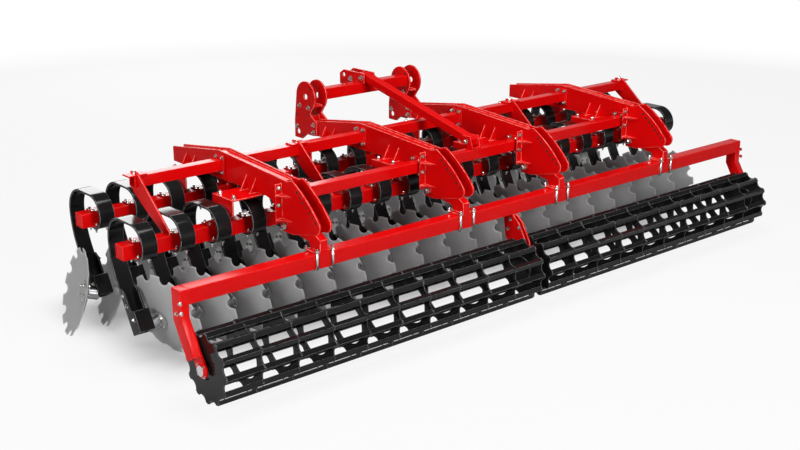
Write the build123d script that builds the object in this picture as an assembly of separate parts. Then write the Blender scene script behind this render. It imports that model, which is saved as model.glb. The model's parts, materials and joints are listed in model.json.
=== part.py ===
from build123d import *
import math
import os

# A mounted compact disc harrow, five metres wide.
# Units are millimetres. +X is the machine's right, +Y its direction of travel, +Z up.
# The origin is on the floor, under the middle of the machine.

# Working width: two rows of discs, each disc on its own spring shank.
PITCH = 250
DISCS_PER_ROW = 20
ROW_OFFSET = 50

# Discs.
DISC_R = 280
DISC_DISH = 58
DISC_THICK = 6
DISC_FLAT_R = 56
NOTCHES = 12
NOTCH_R = 36
DISC_ANGLE = 15
DISC_LEAN = 16
DISC_SIDE = 117
DISC_AHEAD = 20

# Hub of a disc, measured along its axis from the blade's centre.
HUB_FLANGE_R = 60
HUB_FLANGE = 12
HUB_GAP = 2
HOUSING_R = 36
HOUSING_LENGTH = 74
SPINDLE_R = 20
SPINDLE_LENGTH = 62
RUNNING_FIT = 0.05

# Row beams: square hollow sections that carry the shanks.
BEAM = 90
BEAM_WALL = 8
BEAM_LENGTH = 5000
BEAM_Z = 735
REAR_ROW_Y = -80
FRONT_ROW_Y = 615
BEAM_TOP = BEAM_Z + BEAM / 2

# Spring shanks: a flat bar bent into a loop around its beam.
BAND_WIDTH = 100
BAND_THICK = 14
LOOP_REAR_R = 80
LOOP_TOP_R = 122
LOOP_FRONT_R = 150
LOOP_FLAT = 133
LEG_BACK = 70
LEG_DROP = 255
LEG_STRAIGHT = 215
CARRIER_LENGTH = 338
CARRIER_DEPTH = 95
CARRIER_WALL = 12
CHEEK_DEPTH = 44

# Longitudinal arms: twin plates with a closed top and a pair of ears at the rear.
ARM_X = (-1590, -450, 450, 1590)
ARM_GAP = 68
PLATE = 12
ARM_FRONT_Y = 839
ARM_FRONT_TOP = 1031
BEND_Y = 277
BEND_TOP = 1114
ARM_BOTTOM = 930
FLANGE_Y = -390
FLANGE_TOP = 1044
FLANGE_BOTTOM = 807
FLANGE_WIDTH = 182
EAR_TOP = (-499, 1082)
EAR_TIP = (-759, 873)
TOP_STRIP_DROP = 15

# Roller frame, hinged between the ears.
PIVOT_Y = -439
PIVOT_Z = 794
PIVOT_R = 15
TUBE = 90
TUBE_Y = -695
TUBE_Z = 649
TUBE_LENGTH = 5000
DROP_ARM_WIDTH = 56
SIDE_ARM_WIDTH = 55
BEARING_PLATE = 16
BEARING_CAP = 8
BEARING_CAP_R = 33

# Cage rollers.
ROLLER_R = 210
ROLLER_Y = -857
ROLLER_Z = 264
ROLLER_INNER_X = 32
ROLLER_OUTER_X = 2488
ROLLER_BARS = 12
ROLLER_RINGS = 11
RING_THICK = 8
RING_HOLE_R = 122
END_HOLE_R = 62
SCALLOP_R = 40
BAR_LEG = 32
BAR_THICK = 6
STUB_R = 25
STUB_PLATE_R = 80

# Saddles, cross tubes and hangers.
SADDLE_DEPTH = 220
SADDLE_PLATE = 10
CROSS = 70
CROSS_WALL = 6
CROSS_FRONT = (255, 1029)
CROSS_REAR = (FLANGE_Y + 58, 939)
CROSS_END_X = 2262
CROSS_FLANGE = (100, 124)
HANGER_X = (-2240, -1050, 950, 2240)

# Headstock for the tractor's three-point linkage.
UPRIGHT_X = (-450, 450)
HEAD_R = 112
HEAD_Y = 885
HEAD_Z = 1200
HEAD_TUBE = 80
HEAD_TUBE_Y = 850
HEAD_TUBE_Z = 1214
HEAD_BORE_R = 20
LOWER_LINK = (978, 931)
LOWER_LINK_R = 18.5
TOP_LINK = (1020, 1287)
TOP_LINK_R = 16
TOP_LINK_GAP = 78
TOP_LINK_FRONT = 1067
BRACE = 60
BRACE_PIN_R = 12

os.makedirs("parts", exist_ok=True)


def save(name, solids):
    """Writes one node from its solids."""
    solids = solids if isinstance(solids, list) else [solids]
    shape = solids[0] if len(solids) == 1 else Compound(children=solids)
    export_step(shape, "parts/" + name + ".step")


def box(x0, x1, y0, y1, z0, z1):
    """A block between two opposite corners."""
    middle = Pos((x0 + x1) / 2, (y0 + y1) / 2, (z0 + z1) / 2)
    return middle * Box(x1 - x0, y1 - y0, z1 - z0)


def side_plate(face, x, thickness):
    """A plate whose outline is drawn in Y and Z, centred on x."""
    return extrude(Plane.YZ.offset(x - thickness / 2) * face, thickness, dir=(1, 0, 0))


def cross_plate(points, y, thickness):
    """A plate whose outline is drawn in X and Z, centred on y."""
    face = Plane.XZ.offset(-y - thickness / 2) * Polygon(*points, align=None)
    return extrude(face, thickness, dir=(0, -1, 0))


def rod_x(x0, x1, y, z, radius):
    """A round bar along X."""
    return extrude(Plane.YZ.offset(x0) * Pos(y, z) * Circle(radius), x1 - x0, dir=(1, 0, 0))


def tube_x(x0, x1, y, z, size, wall):
    """A square hollow section along X."""
    outline = Rectangle(size, size) - Rectangle(size - 2 * wall, size - 2 * wall)
    return extrude(Plane.YZ.offset(x0) * Pos(y, z) * outline, x1 - x0, dir=(1, 0, 0))


def one(shape):
    """The single solid of a fused shape."""
    return shape.solids()[0] if len(shape.solids()) == 1 else shape


# Rows: name, beam's Y, X of the row's middle, side of the leg where the disc is.
ROWS = (
    ("front", FRONT_ROW_Y, ROW_OFFSET, -1),
    ("rear", REAR_ROW_Y, -ROW_OFFSET, 1),
)


def leg_x(row_middle):
    """X of each shank in a row."""
    first = row_middle - PITCH * (DISCS_PER_ROW - 1) / 2
    return [first + PITCH * i for i in range(DISCS_PER_ROW)]


# Spring shank: under the beam, round its rear, over the top and down the front.
BAND_Z = -BEAM / 2 - BAND_THICK / 2
REAR_Y = -LOOP_REAR_R - 50
CLAMP_REAR = (REAR_Y + LOOP_REAR_R, BAND_Z)
LOOP_REAR = (REAR_Y, BAND_Z + LOOP_REAR_R)
LOOP_TOP = (REAR_Y + LOOP_TOP_R, LOOP_REAR[1] + LOOP_TOP_R)
LOOP_TOP_END = (LOOP_TOP[0] + LOOP_FLAT, LOOP_TOP[1])
LOOP_FRONT = (LOOP_TOP_END[0] + LOOP_FRONT_R, LOOP_TOP[1] - LOOP_FRONT_R)
LEG_TOP = (LOOP_FRONT[0] - LEG_BACK, LOOP_FRONT[1] - LEG_DROP)
LEG_ANGLE = 2 * math.atan2(LEG_BACK, LEG_DROP)
ALONG = (-math.sin(LEG_ANGLE), -math.cos(LEG_ANGLE))
BEHIND = (-math.cos(LEG_ANGLE), math.sin(LEG_ANGLE))


def leg_point(along, behind):
    """A point beside the straight leg: distance down it, and distance behind it."""
    return (
        LEG_TOP[0] + ALONG[0] * along + BEHIND[0] * behind,
        LEG_TOP[1] + ALONG[1] * along + BEHIND[1] * behind,
    )


def band_outline():
    """The shank's bent bar, seen from the side, with the beam's centre at 0, 0."""
    path = Line((BEAM / 2, BAND_Z), CLAMP_REAR)
    path += TangentArc(CLAMP_REAR, LOOP_REAR, tangent=(-1, 0))
    path += TangentArc(LOOP_REAR, LOOP_TOP, tangent=(0, 1))
    path += Line(LOOP_TOP, LOOP_TOP_END)
    path += TangentArc(LOOP_TOP_END, LOOP_FRONT, tangent=(1, 0))
    path += TangentArc(LOOP_FRONT, LEG_TOP, tangent=(0, -1))
    path += Line(LEG_TOP, leg_point(LEG_STRAIGHT, 0))
    return trace(path, BAND_THICK)


def shank(x, beam_y):
    return side_plate(Pos(beam_y, BEAM_Z) * band_outline(), x, BAND_WIDTH)


# Disc: its blade is dished, with its hub's flange and spindle on the convex side.
def disc_blank():
    """A disc about the Z axis: the blade opens towards +Z, the spindle points to -Z."""
    rim_in = DISC_R - DISC_THICK * 0.25
    middle = (DISC_FLAT_R + DISC_R) / 2
    sag = DISC_DISH * 0.36
    outline = Line((0, 0), (DISC_FLAT_R, 0))
    outline += ThreePointArc((DISC_FLAT_R, 0), (middle, sag), (DISC_R, DISC_DISH))
    outline += Line((DISC_R, DISC_DISH), (rim_in, DISC_DISH + DISC_THICK))
    outline += ThreePointArc(
        (rim_in, DISC_DISH + DISC_THICK), (middle, sag + DISC_THICK), (DISC_FLAT_R, DISC_THICK)
    )
    outline += Line((DISC_FLAT_R, DISC_THICK), (0, DISC_THICK))
    outline += Line((0, DISC_THICK), (0, 0))
    blade = revolve(Plane.XZ * make_face(outline), Axis.Z)
    for i in range(NOTCHES):
        turn = math.radians((i + 0.5) * 360 / NOTCHES)
        notch = Cylinder(NOTCH_R, 3 * DISC_DISH)
        blade -= Pos(DISC_R * math.cos(turn), DISC_R * math.sin(turn), DISC_DISH) * notch
    blade += Pos(0, 0, -HUB_FLANGE / 2) * Cylinder(HUB_FLANGE_R, HUB_FLANGE)
    blade += Pos(0, 0, DISC_THICK + 4) * Cylinder(HUB_FLANGE_R - 6, 8)
    blade += Pos(0, 0, -SPINDLE_LENGTH / 2) * Cylinder(SPINDLE_R, SPINDLE_LENGTH)
    return one(blade)


def disc_place(x, beam_y, side):
    """The disc's frame: beside its leg, opening outwards, forwards and up, rim on the floor."""
    turn = math.radians(DISC_ANGLE)
    lean = math.radians(DISC_LEAN)
    height = DISC_R * math.cos(lean) - DISC_DISH * math.sin(lean)
    centre = Vector(x + side * DISC_SIDE, beam_y + DISC_AHEAD, height)
    level = Vector(side * math.cos(turn), math.sin(turn), 0)
    axis = level * math.cos(lean) + Vector(0, 0, math.sin(lean))
    down = Vector(0, 0, -1) + axis * math.sin(lean)
    return Plane(origin=centre, x_dir=down, z_dir=axis)


def housing():
    """The fixed bearing housing that a disc's spindle turns in."""
    top = -HUB_FLANGE - HUB_GAP
    length = HOUSING_LENGTH
    body = Pos(0, 0, top - length / 2) * Cylinder(HOUSING_R, length)
    depth = SPINDLE_LENGTH + top + 2
    bore = Pos(0, 0, top - depth / 2) * Cylinder(SPINDLE_R + RUNNING_FIT, depth)
    return body, bore


def carrier(x, beam_y, side):
    """The box at a leg's foot: cheeks behind the band, the bearing housing on its side."""
    half = BAND_THICK / 2
    start = 50
    wide = 200
    wall = CARRIER_WALL
    outline = Polygon(
        leg_point(wide, half),
        leg_point(wide, half + CHEEK_DEPTH),
        leg_point(wide + 8, CARRIER_DEPTH),
        leg_point(CARRIER_LENGTH, CARRIER_DEPTH),
        leg_point(CARRIER_LENGTH, -half),
        leg_point(LEG_STRAIGHT, -half),
        leg_point(LEG_STRAIGHT, half),
        align=None,
    )
    body = side_plate(Pos(beam_y, BEAM_Z) * outline, x, BAND_WIDTH)
    pocket = Polygon(
        leg_point(wide + 22, 10),
        leg_point(wide + 22, CARRIER_DEPTH - wall),
        leg_point(CARRIER_LENGTH + 5, CARRIER_DEPTH - wall),
        leg_point(CARRIER_LENGTH + 5, 10),
        align=None,
    )
    body -= side_plate(Pos(beam_y, BEAM_Z) * pocket, x, BAND_WIDTH - 2 * wall)
    cheek = Polygon(
        leg_point(start, half),
        leg_point(start, half + 20),
        leg_point(start + 40, half + CHEEK_DEPTH),
        leg_point(wide + 5, half + CHEEK_DEPTH),
        leg_point(wide + 5, half),
        align=None,
    )
    for edge in (-1, 1):
        cheek_x = x + edge * (BAND_WIDTH - wall) / 2
        body += side_plate(Pos(beam_y, BEAM_Z) * cheek, cheek_x, wall)
    place = disc_place(x, beam_y, side)
    solid, bore = housing()
    return one(body + place * solid - place * bore)


for row, beam_y, middle, side in ROWS:
    places = leg_x(middle)
    save("shanks_" + row, [shank(x, beam_y) for x in places])
    save("carriers_" + row, [carrier(x, beam_y, side) for x in places])
    for i, x in enumerate(places):
        save("disc_%s_%02d" % (row, i + 1), disc_place(x, beam_y, side) * disc_blank())

save(
    "row_beams",
    [
        tube_x(middle - BEAM_LENGTH / 2, middle + BEAM_LENGTH / 2, beam_y, BEAM_Z, BEAM, BEAM_WALL)
        for row, beam_y, middle, side in ROWS
    ],
)


# Longitudinal arm: its side outline, then everything between and beside its plates.
def arm_outline():
    top = Polyline(
        (ARM_FRONT_Y, ARM_BOTTOM),
        (ARM_FRONT_Y, ARM_FRONT_TOP),
        (BEND_Y, BEND_TOP),
        (-451, 1067),
        EAR_TOP,
    )
    back = ThreePointArc(EAR_TOP, (-642, 989), EAR_TIP)
    tip = ThreePointArc(EAR_TIP, (-752, 821), (-700, 799))
    low = Polyline(
        (-700, 799),
        (-500, PIVOT_Z - 45),
        (PIVOT_Y + 39, PIVOT_Z - 45),
        (FLANGE_Y + 6, FLANGE_BOTTOM),
        (-287, ARM_BOTTOM - 12),
        (-225, ARM_BOTTOM),
        (ARM_FRONT_Y, ARM_BOTTOM),
    )
    return make_face(top + back + tip + low)


def arm(x):
    face = arm_outline()
    offset = (ARM_GAP + PLATE) / 2
    body = side_plate(face, x - offset, PLATE) + side_plate(face, x + offset, PLATE)
    drop = TOP_STRIP_DROP
    strip = Polygon(
        (ARM_FRONT_Y, ARM_FRONT_TOP - drop),
        (BEND_Y, BEND_TOP - drop),
        (FLANGE_Y, 1072 - drop),
        (FLANGE_Y, 1062 - drop),
        (BEND_Y, BEND_TOP - drop - 10),
        (ARM_FRONT_Y, ARM_FRONT_TOP - drop - 10),
        align=None,
    )
    body += side_plate(strip, x, ARM_GAP)
    body += box(x - ARM_GAP / 2, x + ARM_GAP / 2, -220, ARM_FRONT_Y, ARM_BOTTOM, ARM_BOTTOM + 10)
    half = FLANGE_WIDTH / 2
    body += box(x - half, x + half, FLANGE_Y - 6, FLANGE_Y + 6, FLANGE_BOTTOM, FLANGE_TOP)
    for z in (FLANGE_BOTTOM + 12, FLANGE_TOP - 75):
        for side in (-1, 1):
            rib = Polygon(
                (x + side * 40, FLANGE_Y),
                (x + side * half, FLANGE_Y),
                (x + side * 40, FLANGE_Y - 125),
                align=None,
            )
            body += extrude(Plane.XY.offset(z) * rib, 10, dir=(0, 0, 1))
    body += rod_x(x - 62, x + 62, PIVOT_Y, PIVOT_Z, PIVOT_R)
    return one(body)


ARMS = [arm(x) for x in ARM_X]
save("arms_outer", [ARMS[0], ARMS[3]])
save("arms_inner", [ARMS[1], ARMS[2]])


# Saddles: a plate under the arm, with ends that reach down between the shanks to the beam.
def saddle_ends(arm_x, places):
    """X of a saddle's end plates: in the nearest gap between shanks on each side of the arm."""
    gaps = [x + PITCH / 2 for x in places]
    left = max(g for g in gaps if g < arm_x - 90) - 50
    right = min(g for g in gaps if g > arm_x + 90) + 50
    return left, right


def saddle(arm_x, beam_y, places):
    left, right = saddle_ends(arm_x, places)
    half = SADDLE_DEPTH / 2
    under = ARM_BOTTOM - SADDLE_PLATE
    body = box(left, right, beam_y - half, beam_y + half, under, ARM_BOTTOM)
    end = Polygon(
        (beam_y - half, under),
        (beam_y + half, under),
        (beam_y + half, under - 46),
        (beam_y + 45, BEAM_TOP),
        (beam_y - 45, BEAM_TOP),
        (beam_y - half, under - 86),
        align=None,
    )
    for x in (left + SADDLE_PLATE / 2, right - SADDLE_PLATE / 2):
        body += side_plate(end, x, SADDLE_PLATE)
    face_x = ARM_GAP / 2 + PLATE
    for side in (-1, 1):
        for y in (beam_y - 50, beam_y + 50):
            corner = arm_x + side * face_x
            foot = (corner + side * 52, ARM_BOTTOM)
            body += cross_plate(((corner, ARM_BOTTOM), foot, (corner, ARM_BOTTOM + 96)), y, 8)
    return one(body)


saddles = [
    saddle(x, beam_y, leg_x(middle)) for row, beam_y, middle, side in ROWS for x in ARM_X
]
save("saddles", saddles)


# Cross tubes: sections with a bolted flange at each arm.
def cross_section(x0, x1, place, flanges):
    y, z = place
    body = tube_x(x0, x1, y, z, CROSS, CROSS_WALL)
    deep, tall = CROSS_FLANGE
    for x in flanges:
        body += box(x, x + PLATE, y - deep / 2, y + deep / 2, z - tall / 2, z + tall / 2)
    return one(body)


ARM_HALF = ARM_GAP / 2 + PLATE
cross_tubes = []
for left, right in zip(ARM_X, ARM_X[1:]):
    x0 = left + ARM_HALF
    x1 = right - ARM_HALF
    for place in (CROSS_FRONT, CROSS_REAR):
        cross_tubes.append(cross_section(x0, x1, place, (x0, x1 - PLATE)))
LEFT_END = ARM_X[0] - ARM_HALF
RIGHT_END = ARM_X[-1] + ARM_HALF
cross_tubes.append(cross_section(-CROSS_END_X, LEFT_END, CROSS_FRONT, (LEFT_END - PLATE,)))
cross_tubes.append(cross_section(RIGHT_END, CROSS_END_X, CROSS_FRONT, (RIGHT_END,)))
save("cross_tubes", cross_tubes)


# Hangers: curved plates from the front cross tube down and back to the rear beam.
def hanger(x):
    y, z = CROSS_FRONT
    rear = REAR_ROW_Y - BEAM / 2
    toe = REAR_ROW_Y + BEAM / 2
    top = Polyline((y + 45, z - 50), (y + 45, z + 55), (y - 30, z + 62))
    back = ThreePointArc((y - 30, z + 62), (60, 954), (rear, BEAM_TOP + 20))
    foot = Polyline((rear, BEAM_TOP + 20), (rear, BEAM_TOP), (toe, BEAM_TOP))
    front = ThreePointArc((toe, BEAM_TOP), (130, 869), (y + 45, z - 50))
    body = side_plate(make_face(top + back + foot + front), x, PLATE)
    half = CROSS / 2
    return body - box(x - PLATE, x + PLATE, y - half, y + half, z - half, z + half)


save("hangers", [one(hanger(x)) for x in HANGER_X])


# Headstock: twin plates with round heads, a tube between them and the top link's bracket.
def upright(x):
    foot = Polygon(
        (HEAD_Y + HEAD_R, HEAD_Z),
        (1022, 1009),
        (1022, 883),
        (930, 883),
        (868, ARM_BOTTOM),
        (760, ARM_BOTTOM),
        (760, 1029),
        (835, 1079),
        (HEAD_Y - 104, HEAD_Z - 42),
        (HEAD_Y, HEAD_Z + 20),
        align=None,
    )
    face = foot + Pos(HEAD_Y, HEAD_Z) * Circle(HEAD_R)
    face -= Pos(HEAD_Y, HEAD_Z) * Circle(HEAD_BORE_R)
    face -= Pos(*LOWER_LINK) * Circle(LOWER_LINK_R)
    offset = ARM_HALF + PLATE / 2
    body = side_plate(face, x - offset, PLATE) + side_plate(face, x + offset, PLATE)
    body += box(x - ARM_HALF, x + ARM_HALF, ARM_FRONT_Y + 20, ARM_FRONT_Y + 32, 944, 1059)
    body += box(x - ARM_HALF, x + ARM_HALF, HEAD_Y - 60, HEAD_Y + 60, HEAD_Z - 75, HEAD_Z - 63)
    return one(body)


save("headstock_uprights", [upright(x) for x in UPRIGHT_X])
HEAD_INNER = UPRIGHT_X[1] - ARM_HALF - PLATE
save("headstock_tube", tube_x(-HEAD_INNER, HEAD_INNER, HEAD_TUBE_Y, HEAD_TUBE_Z, HEAD_TUBE, CROSS_WALL))

TUBE_TOP = HEAD_TUBE_Z + HEAD_TUBE / 2
TUBE_FRONT = HEAD_TUBE_Y + HEAD_TUBE / 2
BRACE_TOP = (HEAD_TUBE_Y - 45, TUBE_TOP + 38)


def top_link_bracket():
    face = Polygon(
        (HEAD_TUBE_Y - 72, TUBE_TOP),
        (HEAD_TUBE_Y - 72, TUBE_TOP + 72),
        (TOP_LINK[0], TUBE_TOP + 72),
        (TOP_LINK_FRONT, TUBE_TOP + 40),
        (TOP_LINK_FRONT, HEAD_TUBE_Z),
        (TUBE_FRONT, HEAD_TUBE_Z),
        (TUBE_FRONT, TUBE_TOP),
        align=None,
    )
    face -= Pos(*TOP_LINK) * Circle(TOP_LINK_R)
    face -= Pos(*BRACE_TOP) * Circle(BRACE_PIN_R + RUNNING_FIT)
    offset = (TOP_LINK_GAP + PLATE) / 2
    body = side_plate(face, -offset, PLATE) + side_plate(face, offset, PLATE)
    half = TOP_LINK_GAP / 2
    return one(body + box(-half, half, TUBE_FRONT, TUBE_FRONT + 12, HEAD_TUBE_Z, TUBE_TOP + 60))


save("top_link_bracket", top_link_bracket())


def brace():
    """A sloping tube from the top link's bracket to the rear cross tube."""
    foot_y = CROSS_REAR[0]
    foot_z = CROSS_REAR[1] + CROSS / 2
    low = (foot_y + 25, foot_z + 50)
    run = (low[0] - BRACE_TOP[0], low[1] - BRACE_TOP[1])
    length = math.hypot(*run)
    angle = math.degrees(math.atan2(run[1], run[0]))
    middle = ((low[0] + BRACE_TOP[0]) / 2, (low[1] + BRACE_TOP[1]) / 2)
    bar = Pos(*middle) * Rot(0, 0, angle) * RectangleRounded(length + BRACE, BRACE, 12)
    body = side_plate(bar, 0, BRACE)
    lug = Polygon(
        (foot_y - 35, foot_z),
        (foot_y + 35, foot_z),
        (foot_y + 75, foot_z + 80),
        (foot_y - 5, foot_z + 90),
        align=None,
    )
    for side in (-1, 1):
        body += side_plate(lug, side * (BRACE + PLATE) / 2, PLATE)
    body += box(-BRACE / 2, BRACE / 2, foot_y - 35, foot_y + 35, foot_z, foot_z + 10)
    reach = TOP_LINK_GAP / 2 + PLATE
    body += rod_x(-reach, reach, *BRACE_TOP, BRACE_PIN_R)
    return one(body)


save("brace", brace())

# Roller frame.
TUBE_HALF = TUBE_LENGTH / 2
save("roller_tube", tube_x(-TUBE_HALF, TUBE_HALF, TUBE_Y, TUBE_Z, TUBE, BEAM_WALL))


def drop_arm(x):
    """From the pivot between the ears back to the top of the roller tube."""
    rear = TUBE_Y - TUBE / 2
    front = TUBE_Y + TUBE / 2
    top = TUBE_Z + TUBE / 2
    face = Polygon(
        (PIVOT_Y, PIVOT_Z + 33),
        (front, PIVOT_Z + 25),
        (rear, PIVOT_Z - 25),
        (rear, top),
        (front, top),
        (front + 20, top + 45),
        (PIVOT_Y, PIVOT_Z - 33),
        align=None,
    )
    face += Pos(PIVOT_Y, PIVOT_Z) * Circle(33)
    face -= Pos(PIVOT_Y, PIVOT_Z) * Circle(PIVOT_R + RUNNING_FIT)
    body = side_plate(face, x, DROP_ARM_WIDTH)
    return one(body + box(x - 62, x + 62, rear, front, top, top + 12))


save("roller_drop_arms", [drop_arm(x) for x in ARM_X])


def side_arm(side):
    """From the tube's end down to the roller's outer bearing, whose plate is thinner."""
    top = TUBE_Z + TUBE / 2
    box_face = Polygon(
        (TUBE_Y - TUBE / 2, top),
        (TUBE_Y + TUBE / 2, top),
        (TUBE_Y + 40, 509),
        (ROLLER_Y + 77, ROLLER_Z + 36),
        (ROLLER_Y, ROLLER_Z + 82),
        (TUBE_Y - 47, 529),
        align=None,
    )
    plate_face = Polygon(
        (TUBE_Y + 40, 509),
        (ROLLER_Y + 42, ROLLER_Z - 22),
        (ROLLER_Y - 42, ROLLER_Z + 22),
        (TUBE_Y - 47, 529),
        align=None,
    )
    plate_face += Pos(ROLLER_Y, ROLLER_Z) * Circle(48)
    x0 = TUBE_HALF
    x1 = x0 + BEARING_PLATE
    body = side_plate(box_face, x0 + SIDE_ARM_WIDTH / 2, SIDE_ARM_WIDTH)
    body += side_plate(plate_face, (x0 + x1) / 2, BEARING_PLATE)
    body += rod_x(x0, x1 + BEARING_CAP, ROLLER_Y, ROLLER_Z, BEARING_CAP_R)
    body -= rod_x(x0 - 1, x1 + 2, ROLLER_Y, ROLLER_Z, STUB_R + RUNNING_FIT)
    body = one(body)
    return body if side > 0 else one(mirror(body, Plane.YZ))


save("roller_side_arms", [side_arm(-1), side_arm(1)])


def centre_bracket():
    """Twin plates under the tube's middle that hold both rollers' inner bearings."""
    low = TUBE_Z - TUBE / 2
    face = Polygon(
        (TUBE_Y - TUBE / 2, low),
        (TUBE_Y + TUBE / 2, low),
        (TUBE_Y + 20, 449),
        (ROLLER_Y + 44, ROLLER_Z - 20),
        (ROLLER_Y - 44, ROLLER_Z + 20),
        (ROLLER_Y - 10, 439),
        (TUBE_Y - 100, 559),
        align=None,
    )
    face += Pos(ROLLER_Y, ROLLER_Z) * Circle(48)
    face -= Pos(ROLLER_Y, ROLLER_Z) * Circle(STUB_R + RUNNING_FIT)
    body = side_plate(face, -16, PLATE) + side_plate(face, 16, PLATE)
    return one(body + box(-10, 10, TUBE_Y - 45, TUBE_Y + 45, low - 12, low))


save("roller_centre_bracket", centre_bracket())


# Cage roller: scalloped rings carry angle bars along their tips.
def ring(hole):
    face = Circle(ROLLER_R - 6) - Circle(hole)
    for i in range(ROLLER_BARS):
        turn = math.radians((i + 0.5) * 360 / ROLLER_BARS)
        reach = ROLLER_R + 8
        face -= Pos(reach * math.cos(turn), reach * math.sin(turn)) * Circle(SCALLOP_R)
    return face


def bar_face():
    """An angle bar's section at the top of the roller, its corner outwards."""
    leg = BAR_LEG * math.sqrt(0.5)
    wall = BAR_THICK * math.sqrt(2)
    return Polygon(
        (0, ROLLER_R),
        (leg, ROLLER_R - leg),
        (leg - wall / 2, ROLLER_R - leg - wall / 2),
        (0, ROLLER_R - wall),
        (wall / 2 - leg, ROLLER_R - leg - wall / 2),
        (-leg, ROLLER_R - leg),
        align=None,
    )


def roller():
    """The right-hand roller, its axis on X."""
    length = ROLLER_OUTER_X - ROLLER_INNER_X
    section = bar_face()
    body = None
    for i in range(ROLLER_BARS):
        place = Plane.YZ.offset(ROLLER_INNER_X) * Rot(0, 0, i * 360 / ROLLER_BARS)
        bar = extrude(place * section, length, dir=(1, 0, 0))
        body = bar if body is None else body + bar
    step = (length - RING_THICK) / (ROLLER_RINGS - 1)
    for i in range(ROLLER_RINGS):
        at_end = i in (0, ROLLER_RINGS - 1)
        face = ring(END_HOLE_R if at_end else RING_HOLE_R)
        body += extrude(Plane.YZ.offset(ROLLER_INNER_X + step * i) * face, RING_THICK, dir=(1, 0, 0))
    inner = rod_x(ROLLER_INNER_X - 24, ROLLER_INNER_X + 60, 0, 0, STUB_R)
    inner += rod_x(ROLLER_INNER_X + RING_THICK, ROLLER_INNER_X + RING_THICK + 10, 0, 0, STUB_PLATE_R)
    outer = rod_x(ROLLER_OUTER_X - 60, TUBE_HALF + BEARING_PLATE, 0, 0, STUB_R)
    outer += rod_x(ROLLER_OUTER_X - RING_THICK - 10, ROLLER_OUTER_X - RING_THICK, 0, 0, STUB_PLATE_R)
    return one(body + inner + outer)


RIGHT_ROLLER = Pos(0, ROLLER_Y, ROLLER_Z) * roller()
save("roller_right", RIGHT_ROLLER)
save("roller_left", one(mirror(RIGHT_ROLLER, Plane.YZ)))
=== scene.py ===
import bmesh
import bpy
import json
import math
from functools import partial
from mathutils import Matrix, Vector


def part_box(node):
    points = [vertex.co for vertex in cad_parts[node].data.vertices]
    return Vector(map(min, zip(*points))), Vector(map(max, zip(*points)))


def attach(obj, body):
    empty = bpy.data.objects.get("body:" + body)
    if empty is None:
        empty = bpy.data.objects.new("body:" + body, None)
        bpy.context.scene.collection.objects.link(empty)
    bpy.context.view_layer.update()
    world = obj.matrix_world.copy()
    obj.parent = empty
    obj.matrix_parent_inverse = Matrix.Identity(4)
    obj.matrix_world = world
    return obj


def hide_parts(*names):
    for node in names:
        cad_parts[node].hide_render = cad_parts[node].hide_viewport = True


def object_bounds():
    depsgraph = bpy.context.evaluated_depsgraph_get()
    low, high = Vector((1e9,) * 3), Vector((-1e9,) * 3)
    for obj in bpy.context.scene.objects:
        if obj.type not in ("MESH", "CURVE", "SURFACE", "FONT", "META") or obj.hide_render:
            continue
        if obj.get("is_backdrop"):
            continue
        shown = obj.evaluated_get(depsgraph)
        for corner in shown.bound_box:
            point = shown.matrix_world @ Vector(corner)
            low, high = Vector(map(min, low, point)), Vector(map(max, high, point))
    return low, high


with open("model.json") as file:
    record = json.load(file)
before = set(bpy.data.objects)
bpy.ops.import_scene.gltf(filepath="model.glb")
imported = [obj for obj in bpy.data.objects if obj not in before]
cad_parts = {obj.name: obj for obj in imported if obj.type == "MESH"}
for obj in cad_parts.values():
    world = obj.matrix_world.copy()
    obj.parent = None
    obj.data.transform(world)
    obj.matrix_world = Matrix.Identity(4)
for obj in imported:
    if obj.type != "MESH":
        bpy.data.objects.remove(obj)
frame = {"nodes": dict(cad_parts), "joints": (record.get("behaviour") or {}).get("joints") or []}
cad_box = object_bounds()

# Row beams: two square hollow sections of rolled steel, five metres long and 90 mm across,
# that carry the shanks. Caps are welded into their ends, and like all of the frame they are
# blasted and sprayed with a gloss red enamel.
RED = (0.68, 0.0026, 0.0030, 1.0)
RED_SHADE = (0.61, 0.0019, 0.0024, 1.0)
# Pale red of the painted highlight on the chamfered edges.
RED_HIGHLIGHT = (0.80, 0.05, 0.045, 1.0)
RED_GLOSS = {"smooth": 0.12, "rough": 0.2, "sheen_level": 0.1}
DRIFT_SCALE = 1.7
GRAIN_SCALE = 31.0
# Grain levels over which the painted edge highlight fades in.
HIGHLIGHT_FROM = 0.3
HIGHLIGHT_TO = 0.6
PEEL_SIZE = 0.0022
PEEL_STRENGTH = 0.03
PEEL_DEPTH = 0.0004
SAME_POINT = 1e-5
FLAT_ANGLE = math.radians(0.5)
HARD_ANGLE = 0.6
NORMAL_WEIGHT = 60
BEAM_BREAK = 0.004
BEAM_WALL = 0.008
CAP_INSET = 0.004
CAP_THICK = 0.006
CAP_BREAK = 0.001


def fill(node, inputs):
    """Links a node's inputs to sockets, or sets their values."""
    for name, value in inputs.items():
        if isinstance(value, bpy.types.NodeSocket):
            node.id_data.links.new(value, node.inputs[name])
        else:
            node.inputs[name].default_value = value


def new_node(tree, kind, inputs, **settings):
    """Adds a node with its settings and its inputs."""
    made = tree.nodes.new(kind)
    for name, value in settings.items():
        setattr(made, name, value)
    fill(made, inputs)
    return made


def new_finish(name):
    """A new material, the function that adds nodes to it, and its shader."""
    material = bpy.data.materials.new(name)
    material.use_nodes = True
    tree = material.node_tree
    return material, partial(new_node, tree), tree.nodes["Principled BSDF"]


def worked_out(node, operation, first, second=0.0):
    """What an operation makes of one or two values."""
    made = node("ShaderNodeMath", {0: first, 1: second}, operation=operation)
    return made.outputs["Value"]


def ranged(node, value, low, high, start=0.0, end=1.0, **settings):
    """A value that goes from low to high while another goes from start to end."""
    limits = {"From Min": start, "From Max": end, "To Min": low, "To Max": high}
    return node("ShaderNodeMapRange", {"Value": value, **limits}, **settings).outputs["Result"]


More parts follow.
